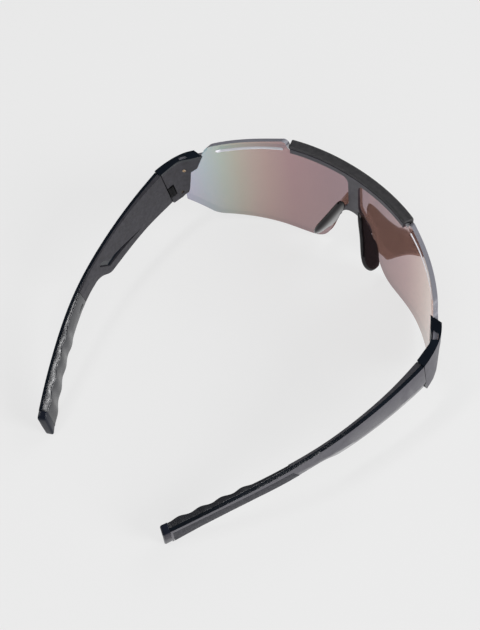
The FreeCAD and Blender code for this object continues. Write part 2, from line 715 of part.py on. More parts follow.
# ---------------------------------------------------------------- assembly
def main():
    shapes = {
        "lens_shield": from_lens(lens_shield()),
        "brow_bar": from_lens(brow_bar()),
        "bridge_frame": from_lens(bridge_frame()),
    }
    pairs = {
        "nose_pad": from_lens(nose_pad()),
        "nose_prong": from_lens(nose_prong()),
        "endpiece_shell": from_temple(endpiece_shell()),
        "endpiece_cover": from_temple(endpiece_cover()),
        "lens_screws": from_lens(Part.makeCompound([screw(*place) for place in SCREWS])),
        "hinge_pin": from_temple(hinge_pin()),
        "hinge_leaf": from_temple(hinge_leaf()),
        "temple_shell": from_temple(temple_shell()),
        "temple_panel": from_temple(inner_panel()),
        "temple_sleeve": from_temple(inner_sleeve()),
        "temple_grip": from_temple(outer_grip()),
        "temple_core": from_temple(core_strip(0.0)),
        "temple_cap": temple_cap(),
    }
    for name, shape in pairs.items():
        shapes[name + "_left"] = shape
        shapes[name + "_right"] = mirrored(shape)
    for name, shape in shapes.items():
        shape.exportStep("parts/" + name + ".step")


main()
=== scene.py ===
"""Looks of the wrap-around shield glasses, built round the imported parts.

Lengths in the part's own frames are millimetres; Blender gets metres.
Lens frame (x, w, v): w runs back from the lens apex, v up along the lens.
Temple frame (x, s, h): s runs back along a temple, h up along its hinge pin.
"""
import math

import bmesh
import bpy
from mathutils import Matrix, Vector


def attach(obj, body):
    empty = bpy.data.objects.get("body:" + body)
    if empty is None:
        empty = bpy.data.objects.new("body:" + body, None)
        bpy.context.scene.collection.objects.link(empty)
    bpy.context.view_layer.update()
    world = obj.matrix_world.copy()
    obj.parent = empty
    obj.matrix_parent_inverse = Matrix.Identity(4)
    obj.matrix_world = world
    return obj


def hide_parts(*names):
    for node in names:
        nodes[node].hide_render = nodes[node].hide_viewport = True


MM = 0.001
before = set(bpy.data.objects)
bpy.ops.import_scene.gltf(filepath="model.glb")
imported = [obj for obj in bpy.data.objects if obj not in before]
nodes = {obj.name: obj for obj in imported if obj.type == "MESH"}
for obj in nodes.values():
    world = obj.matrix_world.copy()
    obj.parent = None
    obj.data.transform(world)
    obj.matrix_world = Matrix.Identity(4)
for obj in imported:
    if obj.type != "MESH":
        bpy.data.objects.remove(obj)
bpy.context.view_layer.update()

# ---------------------------------------------------------------- driving dimensions of the part, millimetres
HINGE_Y = -27.32
HINGE_Z = 30.04
HINGE_LEAN = math.radians(10.87)
LENS_LEAN = math.radians(2.77)
LENS_Y = HINGE_Y - 44.72
LENS_Z = 42.806
LENS_RADIUS = 99.2
LENS_WRAP = 0.604e-6
LENS_THICK = 1.8
FIT = 0.04

BAR_HALF = 30.2
BAR_FRONT = -1.3
BAR_BACK = 2.9
BAR_TOP = 11.9
BAR_UNDER = 10.44
BAR_LIP_LOW = 6.8
BAR_DISH = 0.3
BAR_DISH_INSET = 0.8
BAR_END_ROUND = 0.5
BAR_STEP = 0.5
RIB_HALF = 28.0
RIB_END = 0.3
RIB_LOW = 8.84
RIB_STUB = 0.05

ARM_X = 69.3
ARM_HEADINGS = [(0, 3.4), (40, 14.9), (70, 25.4), (104, 29.8)]      # distance back, degrees inwards
ARM_SPLIT = 1.35
ARM_JOINT = 55.5
END_TOP = (102.2, -0.2)
END_LOW = (104.3, -11.4)
END_MIDDLE_INSET = 2.0          # with the height below it, a point near the middle of the end face
END_MIDDLE_H = -5.0
CAP_LENGTH = 2.7
GRIP_SHORT = 0.8
# Keys along a temple: the distance behind the hinge, then a height or an inset there.
CREASE_H = [(0, -2.5), (16, -1.6), (38, -0.2), (48, 3.0), (60, 2.6), (70, 1.8), (90, -2.0), (104, -6.0)]
LOWER_LEAN = [(0, 1.9), (37, 1.8), (48, 0.6), (60, 0.65), (70, 1.0), (90, 1.0), (104, 0.3)]
TOP_THICK = [
    (0, 3.3), (10, 2.75), (20, 2.45), (30, 2.25), (45, 2.15), (60, 2.5), (76, 2.9), (92, 3.5), (104, 4.0),
]
LOW_INSET = [
    (0, 2.7), (10, 2.25), (37, 2.25), (48, 1.3), (60, 1.25), (70, 1.6), (80, 1.8), (90, 2.4), (104, 3.9),
]
KNEE_H = [(0, -4.0), (37, -2.5), (48, 6.0), (60, 5.0), (70, 3.5), (80, 2.0), (90, 0.0), (104, -4.0)]
ARM_UNDER = [(0, -11.7), (37, -7.8), (48, -1.2), (80, -5.5), (104, -12.9)]
SCALLOP_PITCH = 7.6
SCALLOP_START = 69.8
SCALLOP_COUNT = 4
SCALLOP_PROUD = 0.6
SLEEVE_FALL = 0.25              # fall of the sleeve's top inner corner, as a share of its thickness there
SLEEVE_INSET = 2.5              # where between the faces a sleeve's section is measured
SLEEVE_END_ROUND = 0.25
SLEEVE_STEP = 0.55
SLEEVE_KNEE_MARGIN = 1.2
GRIP_DEPTH = 0.41
GRIP_PROUD = 0.08
GRIP_TOE = 54.2
GRIP_FIRST = 54.35
GRIP_SLANT = 5.6 / 1.8
GRIP_SHOULDER = (58, 5.9)       # the grip's top edge is level as far as this point
GRIP_LAND = 0.5
GRIP_LAND_SHARE = 0.2
RIB_PITCH = 0.8
RIB_HEIGHT = 0.13
RINGS_PER_RIB = 4               # along the grip, two on each flank of a rib
CAP_ROUND = 0.7
CAP_FRONT_ROUND = 0.2
CAP_FRONT_TUCK = 0.15
CAP_STEP = 0.4
CAP_TURNS = 6

PAD_LENGTH = 28.8
PAD_WIDTH = 11.0
PAD_THICK = 2.9
PAD_CENTRE = (9.5, 4.4, -18.7)
PAD_SPLAY = math.radians(7.5)
PAD_TILT = math.radians(22.5)
# Right half of a pad's drop outline, as shares of half its width and half its length.
PAD_DROP = [(0.0, 1.0), (0.5, 0.84), (0.72, 0.25), (1.0, -0.5), (0.62, -0.9), (0.0, -1.0)]
PAD_PITCH = math.radians(9.5)
PAD_STEP = -18.4
PAD_EASE = 0.7
PAD_REACH = 1.35
PAD_REAR = 1.28
PAD_SWELL = 1.15
PAD_NOSE_CROWN = 3.2            # exponents of the crown: a higher one is flatter
PAD_BACK_CROWN = 9.0
PAD_POINTS = 60
PAD_RINGS = 30
PAD_SOFTENING = 3               # outline points over which a step in a pad is drawn out, each way
BRIDGE_BACK = 3.05

EASE_STEPS = 5                  # rings in the rounding at each end of a skin


# ---------------------------------------------------------------- frames
def from_lens(x, w, v):
    """Metres in the row frame for a point of the lens frame."""
    y = LENS_Y + w * math.cos(LENS_LEAN) + v * math.sin(LENS_LEAN)
    z = LENS_Z - w * math.sin(LENS_LEAN) + v * math.cos(LENS_LEAN)
    return Vector((x, y, z)) * MM


def from_temple(x, s, h):
    """Metres in the row frame for a point of the temple frame."""
    y = HINGE_Y + s * math.cos(HINGE_LEAN) + h * math.sin(HINGE_LEAN)
    z = HINGE_Z - s * math.sin(HINGE_LEAN) + h * math.cos(HINGE_LEAN)
    return Vector((x, y, z)) * MM


def lens_point(x, inset):
    """Plan point (x, w) of the lens's front surface at x, moved inwards by inset."""
    depth = x * x / (2 * LENS_RADIUS) + LENS_WRAP * x ** 4
    slope = x / LENS_RADIUS + 4 * LENS_WRAP * x ** 3
    size = math.hypot(slope, 1.0)
    return x - inset * slope / size, depth + inset / size


def along(keys, s):
    """Value at s from (s, value) keys, straight between them."""
    if s <= keys[0][0]:
        return keys[0][1]
    for (s0, a), (s1, b) in zip(keys, keys[1:]):
        if s <= s1:
            return a + (b - a) * (s - s0) / (s1 - s0)
    return keys[-1][1]


def arm_place(s):
    """Outer path of a temple at distance s: its x and its inward heading."""
    x = ARM_X
    for (s0, degrees0), (s1, degrees1) in zip(ARM_HEADINGS, ARM_HEADINGS[1:]):
        sine0 = math.sin(math.radians(degrees0))
        sine1 = math.sin(math.radians(degrees1))
        radius = (s1 - s0) / (sine1 - sine0)
        last = s1 == ARM_HEADINGS[-1][0]
        reach = s if last else min(s, s1)
        sine = sine0 + (reach - s0) / radius
        x -= radius * (math.sqrt(1 - sine0 ** 2) - math.sqrt(1 - sine ** 2))
        if s <= s1 or last:
            return x, math.asin(sine)


def arm_at(y, inset, h):
    """Temple-frame point at side coordinate y, inset from the temple's outer path, at height h."""
    s = y
    for _ in range(4):
        s = y + inset * math.sin(arm_place(s)[1])
    x, heading = arm_place(s)
    return from_temple(x - inset * math.cos(heading), y, h)


def arc_height(a, b, c):
    """Height above y of the circle through three (y, h) points, on the side where the points are."""
    (ay, ah), (by, bh), (cy, ch) = a, b, c
    det = 2 * (ay * (bh - ch) + by * (ch - ah) + cy * (ah - bh))
    sa, sb, sc = ay * ay + ah * ah, by * by + bh * bh, cy * cy + ch * ch
    centre_y = (sa * (bh - ch) + sb * (ch - ah) + sc * (ah - bh)) / det
    centre_h = (sa * (cy - by) + sb * (ay - cy) + sc * (by - ay)) / det
    radius = math.hypot(ay - centre_y, ah - centre_h)
    side = math.copysign(1.0, bh - centre_h)
    return lambda y: centre_h + side * math.sqrt(max(radius ** 2 - (y - centre_y) ** 2, 0.0))


ARM_TOP = arc_height((45, 9.5), (75, 6.6), END_TOP)
ARM_LOW = arc_height((102.6, -11.4), (80, -4.0), (48, 0.3))
GRIP_TOP = arc_height(GRIP_SHOULDER, (80, 3.4), (104, -3.0))


# ---------------------------------------------------------------- mesh making
def rounded(corners, radii, steps=4):
    """Closed outline with every corner rounded, always with the same number of points."""
    points = []
    count = len(corners)
    for i, corner in enumerate(corners):
        here = Vector(corner)
        before = Vector(corners[i - 1]) - here
        after = Vector(corners[(i + 1) % count]) - here
        cut = min(radii[i], 0.45 * before.length, 0.45 * after.length)
        start = here + before.normalized() * cut
        end = here + after.normalized() * cut
        for k in range(steps + 1):
            t = k / steps
            points.append((1 - t) ** 2 * start + 2 * t * (1 - t) * here + t * t * end)
    return points


def shrunk(points, amount):
    """Closed outline moved inwards by amount along its own normals."""
    moved = []
    count = len(points)
    turn = sum(points[i - 1].x * points[i].y - points[i].x * points[i - 1].y for i in range(count))
    side = math.copysign(1.0, turn)
    for i in range(count):
        run = (points[(i + 1) % count] - points[i - 1]).normalized()
        moved.append(points[i] + Vector((-run.y, run.x)) * side * amount)
    return moved


def end_shrink(distance, radius):
    """How far an outline shrinks at a distance from a rounded end."""
    if distance >= radius:
        return 0.0
    return radius - math.sqrt(radius ** 2 - (radius - distance) ** 2)


def eased(first, last, radius, step):
    """Places from first to last, close together at the two rounded ends."""
    near = [radius * (1 - math.cos(math.pi / 2 * k / EASE_STEPS)) for k in range(EASE_STEPS)]
    count = max(1, round((last - first - 2 * radius) / step))
    middle = [first + radius + (last - first - 2 * radius) * k / count for k in range(count + 1)]
    return [first + d for d in near] + middle + [last - d for d in reversed(near)]


def skin(name, rings, sharp=50):
    """Closed mesh through rings of equal length, with a fan at each end and UVs in metres."""
    mesh = bpy.data.meshes.new(name)
    bm = bmesh.new()
    uv = bm.loops.layers.uv.new("run")
    rows = [[bm.verts.new(p) for p in ring] for ring in rings]
    count = len(rings[0])
    run = [0.0]
    for a, b in zip(rings, rings[1:]):
        run.append(run[-1] + sum((q - p).length for p, q in zip(a, b)) / count)
    halfway = rings[len(rings) // 2]
    around = [0.0]
    for k in range(count):
        around.append(around[-1] + (halfway[(k + 1) % count] - halfway[k]).length)
    for i in range(len(rows) - 1):
        for k in range(count):
            m = (k + 1) % count
            face = bm.faces.new((rows[i][k], rows[i][m], rows[i + 1][m], rows[i + 1][k]))
            corners = (
                (run[i], around[k]),
                (run[i], around[k + 1]),
                (run[i + 1], around[k + 1]),
                (run[i + 1], around[k]),
            )
            for loop, corner in zip(face.loops, corners):
                loop[uv].uv = corner
    for row, place in ((rows[0], run[0]), (rows[-1], run[-1])):
        middle = bm.verts.new(sum((v.co for v in row), Vector()) / count)
        for k in range(count):
            face = bm.faces.new((row[k], row[(k + 1) % count], middle))
            for loop in face.loops:
                loop[uv].uv = (place, around[k])
    bmesh.ops.recalc_face_normals(bm, faces=bm.faces)
    bm.to_mesh(mesh)
    bm.free()
    mesh.shade_smooth()
    mesh.set_sharp_from_angle(angle=math.radians(sharp))
    obj = bpy.data.objects.new(name, mesh)
    bpy.context.collection.objects.link(obj)
    return obj


def mirrored(rings):
    """The same rings on the wearer's other side."""
    return [[Vector((-p.x, p.y, p.z)) for p in ring] for ring in rings]


def take_over(obj, body, node, slot_name):
    """Make obj stand for a CAD node of a body."""
    obj.data.materials.append(LOOKS[slot_name])
    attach(obj, body)
    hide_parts(node)


# ---------------------------------------------------------------- materials
NOISE_SPAN = (0.35, 0.65)       # the part of a noise's range that a colour or a roughness spreads over


def srgb(red, green, blue):
    """Linear colour for display values from 0 to 255."""
    def linear(value):
        value /= 255
        return value / 12.92 if value <= 0.04045 else ((value + 0.055) / 1.055) ** 2.4
    return (linear(red), linear(green), linear(blue), 1.0)


def feed(tree, socket, value):
    """Link a value that is a socket, or set it as the socket's own constant."""
    if isinstance(value, bpy.types.NodeSocket):
        tree.links.new(value, socket)
    else:
        socket.default_value = value


def set_stops(node, stops):
    """Give a colour ramp its (place, colour) stops."""
    elements = node.color_ramp.elements
    while len(elements) < len(stops):
        elements.new(0.5)
    for element, (place, colour) in zip(elements, stops):
        element.position = place
        element.color = colour


class Look:
    """A material with one Principled shader, and short ways to add nodes to it."""

    def __init__(self, name, **sockets):
        self.material = bpy.data.materials.new(name)
        self.material.use_nodes = True
        self.tree = self.material.node_tree
        self.shader = self.tree.nodes["Principled BSDF"]
        for socket, value in sockets.items():
            self.shader.inputs[socket.replace("_", " ")].default_value = value
        coordinates = self.tree.nodes.new("ShaderNodeTexCoord")
        self.place = coordinates.outputs["Object"]
        self.run = coordinates.outputs["UV"]
        self.height = None

    def node(self, kind, **values):
        """New shader node with its inputs linked or set."""
        made = self.tree.nodes.new("ShaderNode" + kind)
        for key, value in values.items():
            feed(self.tree, made.inputs[key], value)
        return made

    def math(self, operation, a, b=0.0):
        """Result of one arithmetic step."""
        made = self.tree.nodes.new("ShaderNodeMath")
        made.operation = operation
        for slot, value in enumerate((a, b)):
            feed(self.tree, made.inputs[slot], value)
        return made.outputs[0]

    def product(self, *values):
        """Product of two or more values."""
        total = values[0]
        for value in values[1:]:
            total = self.math("MULTIPLY", total, value)
        return total

    def spread(self, value, source, target=(0.0, 1.0)):
        """Value stretched from one range to another, clamped at its ends."""
        made = self.node("MapRange", Value=value)
        for socket, number in zip(("From Min", "From Max", "To Min", "To Max"), (*source, *target)):
            made.inputs[socket].default_value = number
        return made.outputs["Result"]

    def noise(self, scale, detail=3.0):
        """Noise in the object's own place, its scale in waves per metre."""
        return self.node("TexNoise", Vector=self.place, Scale=scale, Detail=detail).outputs["Fac"]

    def ramp(self, factor, stops):
        """Colour from (place, colour) stops."""
        made = self.node("ValToRGB", Fac=factor)
        set_stops(made, stops)
        return made.outputs["Color"]

    def mix(self, factor, a, b):
        """Colour between a and b; the Mix node keeps its colour sockets at 6 and 7 and their result at 2."""
        made = self.node("Mix", Factor=factor)
        made.data_type = "RGBA"
        made.clamp_factor = True
        for slot, value in ((6, a), (7, b)):
            feed(self.tree, made.inputs[slot], value)
        return made.outputs[2]

    def drive(self, socket, output):
        """Link an output to a socket of the Principled shader."""
        self.tree.links.new(output, self.shader.inputs[socket])

    def blotches(self, dark, light, scale):
        """Colour that wanders between two colours."""
        return self.ramp(self.noise(scale), list(zip(NOISE_SPAN, (dark, light))))

    def mottled(self, dark, light, scale):
        """Base colour that wanders between two colours."""
        self.drive("Base Color", self.blotches(dark, light, scale))

    def rough(self, low, high, scale):
        """Roughness that wanders between two values."""
        self.drive("Roughness", self.spread(self.noise(scale), NOISE_SPAN, (low, high)))

    def bump(self, height, strength, distance):
        """One more layer of bump under the shader's normal, its distance in metres."""
        made = self.node("Bump", Height=height, Strength=strength, Distance=distance)
        if self.height:
            self.tree.links.new(self.height, made.inputs["Normal"])
        self.height = made.outputs["Normal"]
        self.drive("Normal", self.height)


LENS_TINT = (1.0, 0.745, 0.67, 1.0)     # brown that each face of the lens lets through
MIRROR_SHARE = 0.62
RIM_TINT = tuple(value * (1.0 - MIRROR_SHARE) for value in LENS_TINT[:3]) + (1.0,)
RIM_GREY = srgb(108, 108, 116)
RIM_ROUGH = 0.45
# Painted highlight on the rims of the lens's vent slots.
SLOT_HIGHLIGHT = srgb(206, 206, 211)
COAT_SHADE = (0.05, 0.04, 0.05, 1)
COAT_DARKENING = 0.38           # share of the shade in the coat at the lens's lowest edge
FACE_SQUARE = 0.7               # a face is one of the lens's two large ones from this squareness on
# Heights and widths on the lens, metres.
LENS_HALF = 0.070
SHADE_TOP = 0.045               # height where the coat's darkening ends
RIM_LOW = 0.030                 # the rim is grey above this height and clear, in RIM_TINT, below it
SLOT_LINE = 0.0597              # the painted highlight on the slots' rims lies below this height at the middle, ...
SLOT_FALL = 0.218               # ... which falls by this much for each unit sideways ...
SLOT_REACH = 0.81               # ... and ends at this share of LENS_HALF


def lens_facing(look, x):
    """How squarely a face looks along the lens: 1 on its two large surfaces, near 0 on its rim."""
    millimetres = look.math("DIVIDE", x, MM)
    cube = look.product(millimetres, millimetres, millimetres)
    bend = look.math("MULTIPLY", cube, 4 * LENS_WRAP)
    slope = look.math("ADD", look.math("DIVIDE", millimetres, LENS_RADIUS), bend)
    normal = look.node("SeparateXYZ", Vector=look.node("NewGeometry").outputs["Normal"])
    back = look.math("MULTIPLY", normal.outputs["Y"], math.cos(LENS_LEAN))
    up = look.math("MULTIPLY", normal.outputs["Z"], math.sin(LENS_LEAN))
    side = look.math("MULTIPLY", normal.outputs["X"], slope)
    total = look.math("SUBTRACT", look.math("SUBTRACT", back, up), side)
    size = look.math("SQRT", look.math("ADD", look.math("MULTIPLY", slope, slope), 1.0))
    return look.math("ABSOLUTE", look.math("DIVIDE", total, size))


def lens_look():
    """Brown-tinted shield with a graded mirror coat: rose in the middle, green, then lilac at the ends."""
    look = Look("lens", Coat_IOR=2.2, Coat_Roughness=0.03)
    place = look.node("SeparateXYZ", Vector=look.place)
    sideways = look.math("ABSOLUTE", place.outputs["X"])
    height = place.outputs["Z"]
    reach = look.math("DIVIDE", sideways, LENS_HALF)
    wave = look.math("MULTIPLY", look.math("SUBTRACT", look.noise(25.0, 1.0), 0.5), 0.06)
    coat = look.ramp(look.math("ADD", reach, wave), [
        (0.0, srgb(103, 85, 115)), (0.15, srgb(103, 85, 112)), (0.43, srgb(138, 111, 127)),
        (0.57, srgb(163, 149, 147)), (0.645, srgb(171, 169, 162)), (0.715, srgb(171, 190, 176)),
        (0.785, srgb(168, 208, 200)), (0.86, srgb(173, 216, 231)), (0.94, srgb(188, 210, 247)),
    ])
    shaded = look.mix(look.spread(height, (0.0, SHADE_TOP), (COAT_DARKENING, 0.0)), coat, COAT_SHADE)

    surface = look.math("GREATER_THAN", lens_facing(look, place.outputs["X"]), FACE_SQUARE)
    high = look.math("GREATER_THAN", height, RIM_LOW)
    rim = look.math("MULTIPLY", look.math("SUBTRACT", 1.0, surface), high)
    solid = look.math("ADD", rim, look.math("MULTIPLY", surface, MIRROR_SHARE))
    share = look.node("MixShader", Fac=solid)
    tint = look.node("BsdfTransparent", Color=look.mix(surface, RIM_TINT, LENS_TINT))

    # Painted highlight: the rims of the vent slots are pale, standing in for the light that falls on them.
    slot_line = look.math("SUBTRACT", SLOT_LINE, look.math("MULTIPLY", sideways, SLOT_FALL))
    slot = look.product(look.math("LESS_THAN", height, slot_line), look.math("LESS_THAN", reach, SLOT_REACH))
    edge = look.mix(slot, RIM_GREY, SLOT_HIGHLIGHT)
    look.drive("Base Color", look.mix(rim, shaded, edge))
    coated = look.math("SUBTRACT", 1.0, rim)
    wander = look.math("MULTIPLY", look.noise(90.0), 0.08)
    duller = look.math("ADD", look.math("ADD", wander, 0.02), look.math("MULTIPLY", rim, RIM_ROUGH))
    look.drive("Roughness", duller)
    look.drive("Metallic", coated)
    look.drive("Coat Weight", coated)
    look.tree.links.new(tint.outputs["BSDF"], share.inputs[1])
    look.tree.links.new(look.shader.outputs["BSDF"], share.inputs[2])
    look.tree.links.new(share.outputs["Shader"], look.tree.nodes["Material Output"].inputs["Surface"])
    return look.material


WEAVE_PITCH = 0.0007            # metres
WEAVE_DEPTH = 0.00006


def brow_look():
    """Soft-touch rubber with a fine woven grain."""
    look = Look("brow_rubber", IOR=1.45)
    look.mottled(srgb(38, 38, 40), srgb(48, 47, 49), 700.0)
    look.rough(0.45, 0.6, 500.0)
    run = look.node("SeparateXYZ", Vector=look.run)
    turns = 2 * math.pi / WEAVE_PITCH
    along_run = look.math("SINE", look.math("MULTIPLY", run.outputs["X"], turns))
    round_run = look.math("SINE", look.math("MULTIPLY", run.outputs["Y"], turns))
    look.bump(look.math("MULTIPLY", along_run, round_run), 0.35, WEAVE_DEPTH)
    look.bump(look.noise(4000.0, 2.0), 0.2, 0.00005)
    return look.material


def satin_look():
    """Satin slate nylon of the bridge."""
    look = Look("frame_satin", IOR=1.5)
    look.mottled(srgb(42, 40, 48), srgb(51, 49, 57), 400.0)
    look.rough(0.32, 0.42, 600.0)
    look.bump(look.noise(5000.0, 2.0), 0.12, 0.00004)
    return look.material


def pad_look():
    """Smooth black silicone."""
    look = Look("pad_rubber", IOR=1.4)
    look.mottled(srgb(10, 8, 10), srgb(15, 13, 16), 250.0)
    look.rough(0.07, 0.13, 400.0)
    look.bump(look.noise(900.0, 2.0), 0.06, 0.0001)
    return look.material


OUTWARD = 0.7                   # a face looks outwards when its normal does by more than this
LEANING = (-0.20, -0.02)        # upward part of an outward face's normal, from all gloss to all dull
SIDE_ROUGH = 0.32


def gloss_look(name, dark, light, ior, slate):
    """Black nylon: polished, dull on outward faces that don't lean down, and painted light on all outward
    faces: a lighter slate colour.
    """
    look = Look(name, IOR=ior)
    turned = look.node("VectorTransform", Vector=look.node("NewGeometry").outputs["Normal"])
    turned.vector_type = "NORMAL"
    normal = look.node("SeparateXYZ", Vector=turned.outputs["Vector"])
    place = look.node("SeparateXYZ", Vector=look.place)
    outward = look.math("MULTIPLY", normal.outputs["X"], look.math("SIGN", place.outputs["X"]))
    side = look.math("GREATER_THAN", outward, OUTWARD)
    dull = look.product(side, look.spread(normal.outputs["Z"], LEANING), SIDE_ROUGH)
    polished = look.blotches(dark, light, 60.0)
    # Painted light: outward faces get a lighter slate colour, as if lit from the side; slate is its grey
    # level.
    side_lit_dark = srgb(slate - 7, slate - 10, slate + 2)
    side_lit_light = srgb(slate + 7, slate + 4, slate + 16)
    look.drive("Base Color", look.mix(side, polished, look.blotches(side_lit_dark, side_lit_light, 900.0)))
    wander = look.math("MULTIPLY", look.noise(300.0), 0.12)
    look.drive("Roughness", look.math("ADD", look.math("ADD", dull, wander), 0.04))
    look.bump(look.noise(350.0, 2.0), 0.04, 0.0001)
    look.bump(look.noise(3500.0, 2.0), 0.12, 0.00004)
    return look.material


def matt_look():
    """Spark-eroded matt face of the inner panels and covers."""
    look = Look("matt_grey", IOR=1.45)
    look.mottled(srgb(36, 35, 40), srgb(44, 43, 49), 500.0)
    look.rough(0.5, 0.62, 800.0)
    look.bump(look.noise(6000.0, 3.0), 0.3, 0.00006)
    return look.material


def sleeve_look():
    """Moulded rubber sleeve, a little polished by wear."""
    look = Look("sleeve_rubber", IOR=1.6)
    look.mottled(srgb(30, 31, 35), srgb(40, 41, 45), 350.0)
    look.rough(0.2, 0.32, 500.0)
    look.bump(look.noise(210.0, 0.0), 0.4, 0.0004)
    look.bump(look.noise(3000.0, 2.0), 0.03, 0.00004)
    return look.material


def grip_look():
    """Ribbed rubber insert with dull hollows."""
    look = Look("grip_rubber", IOR=1.3)
    look.mottled(srgb(38, 38, 43), srgb(50, 50, 56), 600.0)
    look.rough(0.5, 0.65, 900.0)
    look.bump(look.noise(5000.0, 2.0), 0.25, 0.00005)
    return look.material


def metal_look(name, dark, light, low, high):
    """Finely blasted metal, its roughness between low and high."""
    look = Look(name, Metallic=1.0)
    look.mottled(dark, light, 900.0)
    look.rough(low, high, 700.0)
    look.bump(look.noise(4000.0, 2.0), 0.1, 0.00004)
    return look.material


LOOKS = {
    "lens": lens_look(),
    "brow_rubber": brow_look(),
    "frame_satin": satin_look(),
    "pad_rubber": pad_look(),
    # The last number of each gloss look is the grey level of the painted light on its outward faces.
    "gloss_black": gloss_look("gloss_black", srgb(9, 14, 21), srgb(15, 21, 29), 1.6, 42),
    "matt_grey": matt_look(),
    "gloss_slate": gloss_look("gloss_slate", srgb(20, 23, 31), srgb(30, 33, 43), 1.25, 28),
    "sleeve_rubber": sleeve_look(),
    "grip_rubber": grip_look(),
    "brass": metal_look("brass", srgb(165, 145, 120), srgb(205, 188, 165), 0.2, 0.35),
    # Painted shade: the steel is near black, standing in for the shade inside the hinge window.
    "steel": metal_look("steel", srgb(16, 16, 18), srgb(24, 24, 27), 0.4, 0.55),
}


WELD_REACH = 0.000002           # metres
BEVEL_FROM = math.radians(35)


def dress(node, slot_name, edge=0):
    """Give a CAD node its material and, where edge isn't 0, a rounding that many millimetres wide."""
    obj = nodes[node]
    obj.data.materials.clear()
    obj.data.materials.append(LOOKS[slot_name])
    if edge:
        weld = obj.modifiers.new("weld", "WELD")
        weld.merge_threshold = WELD_REACH
        bevel = obj.modifiers.new("edge", "BEVEL")
        bevel.width = edge * MM
        bevel.segments = 2
        bevel.limit_method = "ANGLE"
        bevel.angle_limit = BEVEL_FROM
        bevel.miter_outer = "MITER_ARC"
        normal = obj.modifiers.new("normal", "WEIGHTED_NORMAL")
        normal.keep_sharp = True


# ---------------------------------------------------------------- brow bar
def bar_profile(x):
    """Section of the brow bar as (inset, v) points: a dished top, a front lip and a rib on the lens.

    Past the rib's ends only a stub of it is left, so that every section has as many points.
    """
    rib = RIB_LOW if abs(x) < RIB_HALF - RIB_END else BAR_UNDER - RIB_STUB
    corners = [
        (BAR_FRONT, BAR_LIP_LOW), (BAR_FRONT, BAR_TOP), (BAR_DISH_INSET, BAR_TOP - BAR_DISH),
        (BAR_BACK, BAR_TOP), (BAR_BACK, BAR_UNDER), (LENS_THICK - FIT, BAR_UNDER),
        (LENS_THICK - FIT, rib), (-FIT, rib), (-FIT, BAR_LIP_LOW),
    ]
    return rounded(corners, [0.4, 0.9, 1.2, 0.7, 0.4, 0.05, 0.05, 0.05, 0.2])


def brow_bar():
    """The bar over the middle of the lens's top edge."""
    rings = []
    for x in eased(-BAR_HALF, BAR_HALF, BAR_END_ROUND, BAR_STEP):
        outline = shrunk(bar_profile(x), end_shrink(BAR_HALF - abs(x), BAR_END_ROUND))
        ring = []
        for inset, v in outline:
            plan_x, w = lens_point(x, inset)
            ring.append(from_lens(plan_x, w, v))
        rings.append(ring)
    take_over(skin("brow_bar_soft", rings), "front", "brow_bar", "brow_rubber")


# ---------------------------------------------------------------- nose pads
def pad_outline(count):
    """Drop outline of a pad in (width, length), evenly spread round a closed smooth curve."""
    keys = [Vector((a * PAD_WIDTH / 2, b * PAD_LENGTH / 2)) for a, b in PAD_DROP]
    keys += [Vector((-p.x, p.y)) for p in reversed(keys[1:-1])]
    points = []
    for k in range(count):
        place = k / count * len(keys)
        i = int(place)
        t = place - i
        p0, p1, p2, p3 = (keys[(i + n) % len(keys)] for n in (-1, 0, 1, 2))
        points.append(0.5 * (2 * p1 + (p2 - p0) * t + (2 * p0 - 5 * p1 + 4 * p2 - p3) * t ** 2
                             + (3 * p1 - p0 - 3 * p2 + p3) * t ** 3))
    return points


def lift(point):
    """How far back a pad point moves where the lens or the bridge fills its place."""
    x, w, v = point
    limit = LENS_THICK + FIT
    over = min(max((v - PAD_STEP + PAD_EASE) / PAD_EASE, 0.0), 1.0)
    limit += (BRIDGE_BACK + FIT - limit) * over
    _, at_surface = lens_point(x, 0.0)
    _, at_limit = lens_point(x, limit)
    return max(w, at_limit, at_surface) - w


def softened(values, reach):
    """Values round a closed outline, no lower than before, with their steps drawn out into slopes."""
    count = len(values)
    near = range(-reach, reach + 1)
    wide = [max(values[(i + n) % count] for n in near) for i in range(count)]
    return [sum(wide[(i + n) % count] for n in near) / len(near) for i in range(count)]


def pad_rings():
    """Rings of a crowned pad, from the middle of its nose side over the rim to its back."""
    outline = pad_outline(PAD_POINTS)
    turn = Matrix.Rotation(-PAD_TILT, 4, "Y") @ Matrix.Rotation(PAD_PITCH, 4, "X")
    turn = turn @ Matrix.Rotation(-PAD_SPLAY, 4, "Z")
    rings = []
    for k in range(PAD_RINGS):
        angle = math.pi * (k + 0.5) / PAD_RINGS
        spread = math.sin(angle)
        nose_side = angle < math.pi / 2
        crown = PAD_NOSE_CROWN if nose_side else PAD_BACK_CROWN
        depth = -PAD_SWELL if nose_side else 1.0
        height = depth * PAD_THICK / 2 * (1 - spread ** crown) ** 0.5
        ring = []
        for point in outline:
            reach = PAD_REACH if point.x < 0 else PAD_REAR
            local = Vector((height, point.x * spread * reach, point.y * spread))
            ring.append(turn @ local + Vector(PAD_CENTRE))
        lifts = softened([lift(point) for point in ring], PAD_SOFTENING)
        rings.append([from_lens(p.x, p.y + back, p.z) for p, back in zip(ring, lifts)])
    return rings


def nose_pads():
    """Both pads, the right one mirrored from the left."""
    rings = pad_rings()
    for side, shape in (("left", rings), ("right", mirrored(rings))):
        obj = skin("nose_pad_soft_" + side, shape, 80)
        take_over(obj, "front", "nose_pad_" + side, "pad_rubber")


